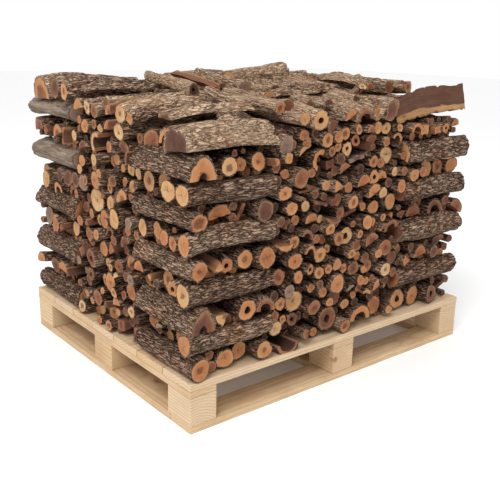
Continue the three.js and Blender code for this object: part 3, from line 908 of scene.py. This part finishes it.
# %% What each crib holds
CRIBS = {
    "front_left": {
        "x": (-600, -305), "y": (-500, -205),
        "heights": (72, 68, 72, 74, 66, 68, 62, 74, 68, 41),
        "faces": ("front", "left"),
        "ends": {
            1: [(-464, 184, 29, "o"), (-402, 186, 30, "o"), (-338, 184, 30, "o")],
            2: [(-402, 258, 26, "o"), (-335, 254, 30, "slab", 20, "g"), (-260, 258, 30, "p")],
            3: [(-465, 322, 38, "third", 60, "c"), (-384, 322, 34, "hollow", 0, "o"),
                (-318, 316, 42, "arch", -5, "r")],
            4: [(-402, 400, 27, "hollow", 0, "o"), (-334, 404, 30, "o"), (-280, 408, 24, "third", 80, "y"),
                (-232, 412, 28, "half", 0, "p")],
            5: [(-478, 472, 30, "third", 120, "y"), (-450, 460, 24, "hollow", 40, "p"),
                (-396, 465, 31, "o"), (-335, 466, 33, "p")],
            6: [(-420, 534, 22, "p"), (-366, 538, 24, "p"), (-300, 540, 28, "o"), (-235, 536, 30, "y")],
            7: [(-478, 600, 40, "half", 10, "p"), (-405, 602, 34, "plank", 60, "r"), (-340, 598, 36, "b")],
            8: [(-397, 672, 34, "c"), (-325, 672, 34, "hollow", 0, "o"), (-250, 672, 34, "y")],
            9: [(-470, 738, 28, "c"), (-405, 734, 24, "p"), (-348, 738, 29, "o"),
                (-313, 738, 14, "half", -70, "o")],
            10: [(-345, 806, 40, "arch", 10, "o"), (-262, 804, 42, "r")],
        },
    },
    "front_right": {
        "x": (255, 575), "y": (-500, -205),
        "heights": (90, 82, 76, 92, 56, 70, 80, 62, 58),
        "faces": ("front", "right"),
        "ends": {
            1: [(300, 194, 40, "hollow", 0, "o"), (382, 190, 38, "o"), (457, 188, 36, "hollow", 0, "b"),
                (530, 192, 44, "plank", 20, "b")],
            3: [(300, 350, 36, "third", 30, "p"), (378, 352, 38, "half", 10, "r"), (440, 356, 24, "b"),
                (520, 356, 44, "slab", 10, "r")],
            5: [(300, 512, 30, "third", 60, "r"), (350, 490, 46, "half", 0, "r"),
                (450, 490, 50, "arch", 0, "b"), (538, 500, 38, "half", -30, "r")],
            7: [(290, 642, 24, "o"), (338, 648, 22, "p"), (395, 646, 32, "y"), (462, 646, 32, "p"),
                (530, 646, 34, "o")],
            9: [(285, 784, 30, "arch", 0, "p"), (340, 784, 34, "billet", 0, "y"),
                (395, 782, 28, "billet", 10, "o"), (440, 786, 18, "hollow", 0, "o"),
                (485, 784, 24, "billet", 0, "p"), (538, 786, 26, "half", 10, "p")],
        },
    },
    "back_left": {
        "x": (-600, -300), "y": (175, 492),
        "heights": (82, 72, 92, 84, 62, 82, 86, 72, 70),
        "faces": ("back", "left"),
        "ends": {
            2: [(455, 268, 34, "half", 10, "o"), (385, 264, 32, "b"), (312, 266, 34, "half", -10, "o"),
                (235, 268, 34, "third", 20, "b")],
            4: [(440, 436, 34, "g"), (375, 430, 30, "o"), (315, 432, 28, "p"),
                (262, 430, 24, "third", 30, "r"), (210, 436, 32, "c")],
            6: [(448, 584, 40, "p"), (375, 580, 32, "y"), (300, 546, 38, "arch", 10, "o"),
                (225, 548, 36, "arch", 0, "r")],
            8: [(440, 746, 36, "half", 10, "r"), (370, 744, 34, "third", 30, "r"),
                (290, 744, 34, "half", 20, "o"), (235, 744, 30, "plank", 85, "p"), (196, 744, 26, "r")],
        },
    },
    "back_right": {
        "x": (265, 575), "y": (180, 492),
        "heights": (84, 74, 76, 82, 64, 70, 78, 70, 66),
        "faces": ("back", "right"),
        "ends": {},
    },
}
for corner, crib in CRIBS.items():
    chosen = sum(len(row) for row in crib["ends"].values())
    print(corner, "crib:", len(crib["heights"]), "layers,", chosen, "chosen ends")

# %% Lay the cribs
SETTLE = 5.0
HIDDEN_LOGS = 5
HIDDEN_RADIUS = 0.28  # as a share of the layer's height


def lay_crib(corner, x, y, heights, faces, ends):
    """Odd layers face along Y and spread over X, and even layers the other way round."""
    heap = []
    bottom = DECK_TOP
    for layer, height in enumerate(heights, start=1):
        axis = 1 - layer % 2
        face = faces[axis]
        low, high = (x, y)[axis]
        top = bottom + height
        # The tenth layer, at the front left only, lies beside the bark slab.
        outer_solid = "top_slab_front_left" if layer == 10 else f"crib_log_{corner}_{layer}"
        has_solid = outer_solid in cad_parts
        if has_solid:
            low = edges(outer_solid, axis)[1] + CLEARANCE
        row = [(*end[:3], *look_of(end[3:])) for end in ends.get(layer, [])]
        row = spread(row or random_row(low, high, bottom, top), low, high, bottom, top)
        outer_log = None if has_solid else max(row)
        settled = SETTLE if layer > 1 else 0.0
        for log in row:
            u, z, *look = log
            lay_end(heap, face, u, z - settled, *look, detail="side" if log is outer_log else "end")
        fill_gaps(heap, face, row, low, high, bottom, top)
        hidden = np.linspace(low, high, HIDDEN_LOGS + 2)[1:-1].tolist() if layer > 1 else []
        for u in hidden:
            lay_end(heap, face, u, bottom, height * HIDDEN_RADIUS, least=40.0, deepest=80.0, askew=0.1,
                    detail="hidden")
        bottom = top
    return heap


for corner, crib in CRIBS.items():
    heap = lay_crib(corner, **crib)
    put_together(f"crib_{corner}_inner_logs", heap, "stacked_logs", f"corner_logs_{corner}")

# %% The outer crib logs, one piece each
BULGE = 1.04  # lobes and furrows reach this far past the radius
OUTER_LOGS = {
    "front_left_1": dict(tone="p", heart=0.25, bark_tone=0.45, furrow=0.0014, pitch=0.022),
    "front_left_2": dict(tone="o", bark_tone=0.85, furrow=0.0014, bow=0.008),
    "front_left_3": dict(section="notched", tone="b", bark_tone=0.65, furrow=0.0030),
    "front_left_4": dict(tone="c", bark_tone=0.35, furrow=0.0024),
    "front_left_5": dict(tone="p", bark_tone=0.80, furrow=0.0036, pitch=0.020),
    "front_left_6": dict(tone="o", bark_tone=0.85, furrow=0.0034, pitch=0.018, bow=0.012),
    "front_left_7": dict(tone="p", heart=0.5, bark_tone=0.60, furrow=0.0040, pitch=0.024, knots=1),
    "front_left_8": dict(tone="y", bark_tone=0.55, furrow=0.0018, pitch=0.014, swell=0.05),
    "front_left_9": dict(section="notched", tone="o", heart=0.36, bark_tone=0.55, furrow=0.0052, pitch=0.030,
                         wider=1.2, taper=0.12),
    "front_right_2": dict(tone="r", taper=-0.02, bark_tone=0.50, furrow=0.0028, pitch=0.018),
    "front_right_4": dict(tone="b", taper=-0.02, bark_tone=0.75, furrow=0.0045, pitch=0.024, knots=2),
    "front_right_6": dict(tone="r", taper=-0.02, bark_tone=0.55, furrow=0.0030, pitch=0.018),
    "front_right_8": dict(section="half", roll=-24, tone="y", bark_tone=0.60, furrow=0.0040, pitch=0.024),
    "back_left_1": dict(tone="o", bark_tone=0.40, furrow=0.0040, pitch=0.022),
    "back_left_3": dict(tone="b", bark_tone=0.50, furrow=0.0034, pitch=0.016),
    "back_left_5": dict(section="half", tone="p", bark_tone=0.55, furrow=0.0046, pitch=0.026),
    "back_left_7": dict(section="half", roll=90, tone="g", bare=True),
    "back_left_9": dict(section="half", roll=90, tone="g", bare=True),
}


def lay_in_box(name, node_name, section="round", roll=0.0, tone=None, bare=False, wider=1.0, **shape):
    """One log that fills the box of its node, lying along the box's longer side; bare means without bark."""
    low, high = (np.array(corner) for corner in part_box(node_name))
    size = high - low
    lengthwise = 0 if size[0] > size[1] else 1
    sideways = 1 - lengthwise
    width, height = size[sideways], size[2]
    start = (low + high) / 2
    start[lengthwise] = low[lengthwise]
    lies_flat = section in FLAT_BOTTOM and abs(roll) < 45
    stands_on_edge = section in FLAT_BOTTOM and not lies_flat
    radius = width / 2 / BULGE
    oval = height / width
    if lies_flat:
        start[2] = low[2] + MM
        oval = height / width * 2.0
    if stands_on_edge:
        start[sideways] = high[sideways]
        radius = height / 2 / BULGE
        oval = 2.0 * width / height
    heap = []
    add_log(heap, section, start, np.eye(3)[lengthwise], size[lengthwise], radius * wider, roll, tone, "full",
            oval=oval / wider, **shape)
    piece = put_together(name, heap, "bark_log", node_name)
    for polygon in piece.data.polygons:
        if bare and polygon.material_index == BARK:
            polygon.material_index = SPLIT


for place, look in OUTER_LOGS.items():
    lay_in_box(f"outer_log_{place}", f"crib_log_{place}", **look)
print("triangles so far:", total_triangles)

# %% [markdown]
# ## The loose layer on top
# The last logs lie where they were thrown. Over the front stack they run front to back and rise a
# little from the front edge; on the left they run across; and the middle is a second layer that lies
# on the first at odd angles. The pieces that stand out have solids of their own: a thick bark slab on
# the front left corner, a split slab that rises over the front right corner, three logs side by side at
# the back left, and the ones that cross the middle.


# %% Lay a loose log
def lay_loose(heap, x, y, z, azimuth, rise, length, radius, section="round", roll=0.0, tone=None,
              detail="side", **shape):
    """The visible end is at x, y, z in millimetres; azimuth 0 points along X and 90 along Y, in degrees."""
    turn, lift = math.radians(azimuth), math.radians(rise)
    ahead = (math.cos(turn) * math.cos(lift), math.sin(turn) * math.cos(lift), math.sin(lift))
    start = (x * MM, y * MM, z * MM)
    add_log(heap, section, start, ahead, length * MM, radius * MM, roll, tone, detail, **shape)


# Place along X and Y, height, azimuth, rise, length and radius, and then the look as for an end.
TOP_LOGS = [
    # over the front stack: ends at the front edge
    (-268, -488, 775, 92, 13, 285, 30, "g"), (-205, -490, 842, 91, 4, 280, 19, "y"),
    (-145, -492, 836, 90, 3, 285, 31, "hollow", 0, "y"), (-70, -484, 824, 92, 5, 280, 46, "third", 60, "b"),
    (-8, -480, 838, 88, 6, 270, 26, "half", 30, "p"), (52, -484, 826, 90, 6, 270, 38, "arch", 10, "b"),
    (108, -480, 842, 93, 5, 280, 24, "o"), (168, -484, 850, 92, 6, 300, 35, "b"),
    (-238, -420, 868, 100, 6, 280, 22, "o"), (-195, -405, 872, 93, 4, 270, 21, "b"),
    (-142, -265, 874, 6, 3, 265, 34, "slab", 0, "o"), (8, -345, 868, -2, 2, 130, 17, "plank", 10, "y"),
    (-100, -395, 868, 84, 3, 200, 17, "b"), (-45, -420, 870, 92, 3, 220, 20, "half", 0, "b"),
    (128, -493, 842, 101, 9, 300, 16, "hollow", 0, "d"), (95, -400, 878, 84, 2, 290, 16, "b"),
    (180, -345, 914, 70, -48, 60, 18, "c"),
    # the lumpy bark behind the front left slab
    (-575, -352, 832, -2, 3, 270, 38, "slab", 0, "d"),
    # behind the right slab
    (250, -390, 845, 90, 3, 290, 32, "b"), (318, -388, 846, 92, 2, 290, 30, "half", 0, "r"),
    (382, -390, 848, 88, 3, 290, 33, "o"), (448, -388, 846, 91, 2, 290, 30, "b"),
    (512, -390, 846, 90, 2, 290, 31, "third", 0, "r"), (556, -380, 838, 90, 1, 285, 16, "o"),
    # the left stack's top layer, ends at the left edge
    (-592, 118, 838, 0, 2, 285, 31, "half", 10, "o"), (-590, 62, 842, -2, 3, 280, 26, "c"),
    (-575, -32, 862, -4, 2, 380, 20, "b"), (-590, 18, 836, 1, 2, 280, 20, "r"),
    (-588, -80, 836, 0, 3, 280, 30, "quarter", 10, "p"), (-590, -140, 842, 2, 3, 280, 27, "c"),
    (-588, -186, 834, -1, 3, 280, 20, "o"), (-560, 140, 885, -3, 1, 330, 20, "half", 0, "g"),
    # the middle, ends facing the front
    (-245, -192, 846, 91, 4, 290, 30, "o"), (-180, -190, 850, 94, 3, 290, 30, "b"),
    (-122, -188, 848, 90, 3, 285, 27, "half", 0, "o"), (-60, -190, 852, 87, 3, 290, 32, "b"),
    (5, -186, 850, 90, 3, 290, 31, "d"), (70, -190, 850, 92, 3, 290, 31, "d"),
    (132, -188, 846, 88, 3, 285, 29, "r"), (192, -190, 848, 91, 3, 290, 29, "arch", 0, "d"),
    (255, -85, 852, 90, 2, 290, 32, "b"), (320, -84, 850, 92, 2, 290, 31, "p"),
    (384, -86, 850, 88, 2, 290, 31, "half", 0, "r"), (448, -84, 850, 90, 1, 290, 31, "b"),
    (515, -85, 850, 90, 1, 290, 33, "b"), (556, -80, 836, 90, 1, 285, 16, "o"),
    (0, -125, 890, 88, 3, 290, 22, "d"), (50, -150, 890, 91, 4, 290, 24, "half", 0, "d"),
    (104, -140, 888, 94, 4, 280, 17, "r"), (150, -150, 892, 86, 3, 290, 22, "b"),
    (205, -205, 886, 93, 3, 290, 25, "half", 0, "d"), (290, -280, 900, 80, 2, 300, 23, "half", 0, "r"),
    (365, -300, 904, 94, 1, 320, 25, "b"), (455, -290, 902, 86, 1, 300, 26, "slab", 0, "r"),
    (515, -260, 900, 97, 1, 290, 22, "o"), (-232, -98, 886, 62, 3, 130, 19, "billet", 10, "c"),
    (-100, -62, 888, 88, 6, 290, 13, "y"), (-72, -74, 880, 84, 5, 280, 21, "b"),
    (-150, -150, 906, 84, 5, 300, 23, "g"), (-345, 262, 884, 4, 0, 270, 24, "g"),
    # the back, ends facing the front or hidden
    (-215, 150, 850, 90, 1, 320, 31, "o"), (-150, 148, 852, 92, 1, 320, 32, "half", 0, "r"),
    (-85, 150, 852, 88, 1, 320, 32, "b"), (-20, 150, 850, 90, 1, 320, 31, "o"),
    (45, 148, 852, 91, 1, 320, 32, "b"), (110, 150, 852, 90, 1, 320, 31, "third", 0, "p"),
    (175, 150, 850, 88, 1, 320, 32, "b"), (240, 220, 852, 90, 1, 260, 31, "o"),
    (305, 222, 850, 92, 1, 258, 31, "half", 0, "r"), (370, 220, 850, 90, 0, 260, 32, "b"),
    (435, 222, 852, 89, 0, 258, 32, "o"), (500, 220, 850, 90, 0, 260, 31, "p"),
    (548, 220, 840, 90, 0, 260, 20, "b"), (-140, 330, 905, -4, 1, 300, 24, "b"),
    (190, 400, 902, 2, 1, 320, 26, "half", 0, "r"), (230, 340, 904, -6, 1, 310, 24, "o"),
    (60, 440, 900, 5, 0, 280, 20, "b"), (330, 60, 905, 12, 1, 230, 24, "o"),
    (400, 130, 900, 70, 1, 260, 20, "third", 0, "r"), (480, 40, 902, 84, 1, 300, 22, "b"),
    (290, 372, 872, 2, 0, 275, 29, "half", 0, "r"),
]
print("loose layer:", len(TOP_LOGS), "logs")
top_heap = []
# The high bark tone of the loose logs paints their bark paler and more contrasty: partly sun-bleached, partly
# painted top light.
for log in TOP_LOGS:
    lay_loose(top_heap, *log[:7], *look_of(log[7:]), bark_tone=draw.uniform(1.0, 1.8),
              furrow=draw.uniform(0.003, 0.0055), pitch=0.022, knots=2, swell=0.07, bow=0.014)
put_together("loose_logs", top_heap, "stacked_logs", "top_logs")

# %% The pieces on top that have solids of their own
# The high bark tones of these top pieces paint their bark paler and more contrasty: partly sun-bleached,
# partly painted top light.
lay_in_box("left_log_1", "top_log_left_1", tone="y", bark_tone=0.9, pitch=0.020)
lay_in_box("left_log_2", "top_log_left_2", tone="b", bark_tone=1.0, furrow=0.0036, pitch=0.020)
lay_in_box("left_half_log", "top_half_log_left", section="half", tone="o", heart=0.5, bark_tone=1.1,
           furrow=0.005, pitch=0.026, swell=0.10)


def lay_one(name, node_name, slot, *place, **shape):
    heap = []
    lay_loose(heap, *place, detail="full", **shape)
    put_together(name, heap, slot, node_name)


lay_one("bark_slab", "top_slab_front_left", "bark_log", -597, -433, 777, 0, 0, 290, 54, "half", 6, "d",
        heart=0.9, bark_tone=1.40, furrow=0.0100, pitch=0.034, swell=0.06, knots=2, taper=-0.16, oval=1.26)
lay_one("log_lengthways", "top_log_lengthways", "bark_log", -296, -80, 897, 88, 6, 285, 20, "hollow", 0, "d",
        bark_tone=1.5, furrow=0.002)
lay_one("split_piece", "top_split_piece", "split_log", -222, -84, 903, 88, 7, 265, 27, "third", 200, "p",
        bark_tone=0.8)
lay_one("peak_log", "top_log_peak", "bark_log", -55, 60, 915, 16, 3, 350, 34, "round", 0, "y",
        bark_tone=1.5, furrow=0.004, pitch=0.024, swell=0.08, knots=1)
lay_one("right_slab", "top_slab_front_right", "split_log", 224, -450, 842, -1, 6, 352, 48, "half", 100, "b",
        heart=2.0, bark_tone=0.9, furrow=0.0060, pitch=0.022, swell=0.05, bow=0.018)
print("triangles in all the logs:", total_triangles)

# %% [markdown]
# ## The pallet
# The pallet is sawn from pale softwood. Its boards and blocks keep the places and sizes of their
# solids; each one is a box with its edges eased by a narrow bevel, cut along its length so that the
# sawn faces can be a little uneven, and it carries the same attributes as a log, measured from a pith
# of its own that lies outside the board. So its growth rings run as lines along the faces and as arcs
# on the ends. The deck boards also get their nail heads.

# %% Pine
pine, tree, sockets = new_material("sawn_pine", 0.72)
along = attribute(tree, "along")
fibre = use_group(tree, fibre_group, {"Along": along, "Fineness": 1.0})
weather = use_group(tree, weather_group, {"Along": along, "Size": 7.0})
knot_cells = node(
    tree, "TexVoronoi", {"Vector": stretched(tree, along, 1.0, 0.55), "Scale": 8.5, "Randomness": 1.0}
)
knot = remap(tree, knot_cells.outputs["Distance"], 0.05, 0.11, 1.0, 0.0)
around_knot = remap(tree, knot_cells.outputs["Distance"], 0.04, 0.35, 1.0, 0.0)
across, girth = from_pith(tree)
waver = noise(tree, stretched(tree, along, 1.0, 0.12), 14.0, 3.0)
ring_place = mixture(tree, (girth, 1.0), (waver, 0.018), (around_knot, 0.010))
late_wood = remap(tree, calc(tree, "SINE", calc(tree, "MULTIPLY", ring_place, 720.0)), -0.2, 1.0)
wood = ramp(tree, weather["Patch"], [(0.0, (0.600, 0.420, 0.240)), (1.0, (0.470, 0.300, 0.160))])
own_shade = parts_of(tree, attribute(tree, "kind"))[0]
wood = stain(tree, wood, (0.680, 0.560, 0.410), own_shade, 0.55)
wood = stain(tree, wood, (0.400, 0.225, 0.095), late_wood, 0.42)
wood = stain(tree, wood, (0.330, 0.200, 0.095), remap(tree, fibre["Streak"], 0.30, 0.55, 0.34, 0.0))
wood = stain(tree, wood, (0.240, 0.110, 0.050), knot, 0.8)
wood = stain(tree, wood, (0.250, 0.190, 0.130), weather["Speck"], 0.18)
tree.links.new(wood, sockets["Base Color"])
raise_surface(tree, sockets, mixture(tree, (fibre["Streak"], 1.0), (late_wood, 0.4)), 0.0010, 0.7)

# %% Nail steel
steel, tree, sockets = new_material("nail_steel", 0.5)
rust = noise(tree, node(tree, "TexCoord").outputs["Object"], 400.0, 3.0)
rusty = ramp(tree, rust, [(0.35, (0.30, 0.29, 0.28)), (0.75, (0.20, 0.12, 0.08))])
tree.links.new(rusty, sockets["Base Color"])
sockets["Metallic"].default_value = 0.8
print("pallet finishes:", pine.name, steel.name)

# %% Saw the boards and blocks
EASED_EDGE = 0.0022
SLICE = 0.045
NAIL_HEAD = 0.0045
NAIL_ROWS = (-0.032, 0.034)


def saw_timber(size, grain_axis):
    """A box with eased edges round the middle, sliced across its grain so that it can be uneven."""
    timber = bmesh.new()
    bmesh.ops.create_cube(timber, size=1.0)
    bmesh.ops.scale(timber, vec=size, verts=timber.verts[:])
    bmesh.ops.bevel(
        timber, geom=timber.edges[:], offset=EASED_EDGE, segments=2, profile=0.5, affect="EDGES", material=-1
    )
    slices = max(2, int(size[grain_axis] / SLICE))
    normal = Vector(np.eye(3)[grain_axis])
    for i in range(1, slices):
        at = normal * float(size[grain_axis] * (i / slices - 0.5))
        everything = timber.verts[:] + timber.edges[:] + timber.faces[:]
        bmesh.ops.bisect_plane(timber, geom=everything, plane_co=at, plane_no=normal)
    bmesh.ops.recalc_face_normals(timber, faces=timber.faces[:])
    return timber


def drive_nails(timber, low, high):
    """Two nail heads over each stringer, a hair proud of the deck."""
    top = (high - low)[2] / 2
    for stringer in ("left", "middle", "right"):
        x = sum(corner[0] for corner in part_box(f"stringer_board_{stringer}")) / 2
        for y in NAIL_ROWS:
            at = (x + draw.uniform(-0.016, 0.016) - (low + high)[0] / 2, y + draw.uniform(-0.008, 0.008), top)
            head = bmesh.ops.create_cone(
                timber, cap_ends=True, segments=10, radius1=NAIL_HEAD, radius2=NAIL_HEAD * 0.8, depth=0.0022,
                matrix=Matrix.Translation(at),
            )
            for face in {face for vert in head["verts"] for face in vert.link_faces}:
                face.material_index = 1


def finish_timber(name, timber, low, high, grain_axis, slot, node_name):
    seed = int(draw.integers(1, 10**9))
    chance = np.random.default_rng(seed)
    mesh = bpy.data.meshes.new(name)
    timber.to_mesh(mesh)
    timber.free()
    places = np.empty(len(mesh.vertices) * 3)
    mesh.vertices.foreach_get("co", places)
    places = places.reshape(-1, 3)
    uneven = np.column_stack([waves(places, 0.11, seed + axis) for axis in range(3)]) * 0.0004
    ends = np.abs(places[:, grain_axis]) > (high - low)[grain_axis] / 2 - 0.006
    uneven[ends, grain_axis] -= np.sign(places[ends, grain_axis]) * chance.uniform(0.0, 0.0016)
    own = places + uneven
    mesh.vertices.foreach_set("co", (own + (low + high) / 2).ravel())
    mesh.materials.append(pine)
    mesh.materials.append(steel)
    section = own[:, [axis for axis in range(3) if axis != grain_axis]]
    pith_at = chance.uniform(-0.06, 0.06), -chance.uniform(0.03, 0.12)
    lengthways = own[:, grain_axis] + chance.uniform(-3.0, 3.0)
    along = np.column_stack([section + chance.uniform(-2, 2, 2), lengthways])
    pith = np.column_stack([section - pith_at, np.full(len(own), chance.uniform())])
    kind = np.tile((chance.uniform(), 0.0, 0.0), (len(own), 1))
    keep_on_mesh(mesh, along, pith, kind)
    hand_over(name, mesh, slot, node_name)


PALLET_PARTS = ("deck_", "bottom_", "block_", "stringer_")
pallet_nodes = [name for name in sorted(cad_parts) if name.startswith(PALLET_PARTS)]
for node_name in pallet_nodes:
    low, high = (np.array(corner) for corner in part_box(node_name))
    grain_axis = 1 if node_name.startswith("block_") else int(np.argmax(high - low))
    timber = saw_timber(high - low, grain_axis)
    if node_name.startswith("deck_board"):
        drive_nails(timber, low, high)
    finish_timber(f"{node_name}_sawn", timber, low, high, grain_axis, "pallet_timber", node_name)
print("pallet pieces:", len(pallet_nodes))

# %% [markdown]
# ## Floor, light and finish
# The load stands on a plain pale floor in soft light from all round, with one broad lamp at the front
# left to give the ends and furrows a little shadow.

# %% Floor
floor_mesh = bpy.data.meshes.new("floor")
floor_shape = bmesh.new()
bmesh.ops.create_grid(floor_shape, x_segments=1, y_segments=1, size=20.0)
floor_shape.to_mesh(floor_mesh)
floor_shape.free()
floor = bpy.data.objects.new("floor", floor_mesh)
bpy.context.scene.collection.objects.link(floor)
floor_finish, tree, sockets = new_material("pale_floor", 0.9)
sockets["Base Color"].default_value = (0.95, 0.95, 0.95, 1.0)
floor_mesh.materials.append(floor_finish)
print("floor:", floor.name)

# %% Light
world = bpy.data.worlds.new("studio")
bpy.context.scene.world = world
world.use_nodes = True
world.node_tree.nodes["Background"].inputs["Color"].default_value = (1.0, 1.0, 1.0, 1.0)
world.node_tree.nodes["Background"].inputs["Strength"].default_value = 1.0
bpy.context.scene.view_settings.view_transform = "Standard"
lamp_data = bpy.data.lights.new("soft_lamp", "AREA")
lamp_data.energy = 165
lamp_data.size = 2.2
lamp = bpy.data.objects.new("soft_lamp", lamp_data)
bpy.context.scene.collection.objects.link(lamp)
lamp.location = (-3.1, -2.0, 4.2)
lamp.rotation_euler = (Vector((-0.1, 0.0, 0.4)) - lamp.location).to_track_quat("-Z", "Y").to_euler()

print("lamp at", tuple(round(v, 2) for v in lamp.location))
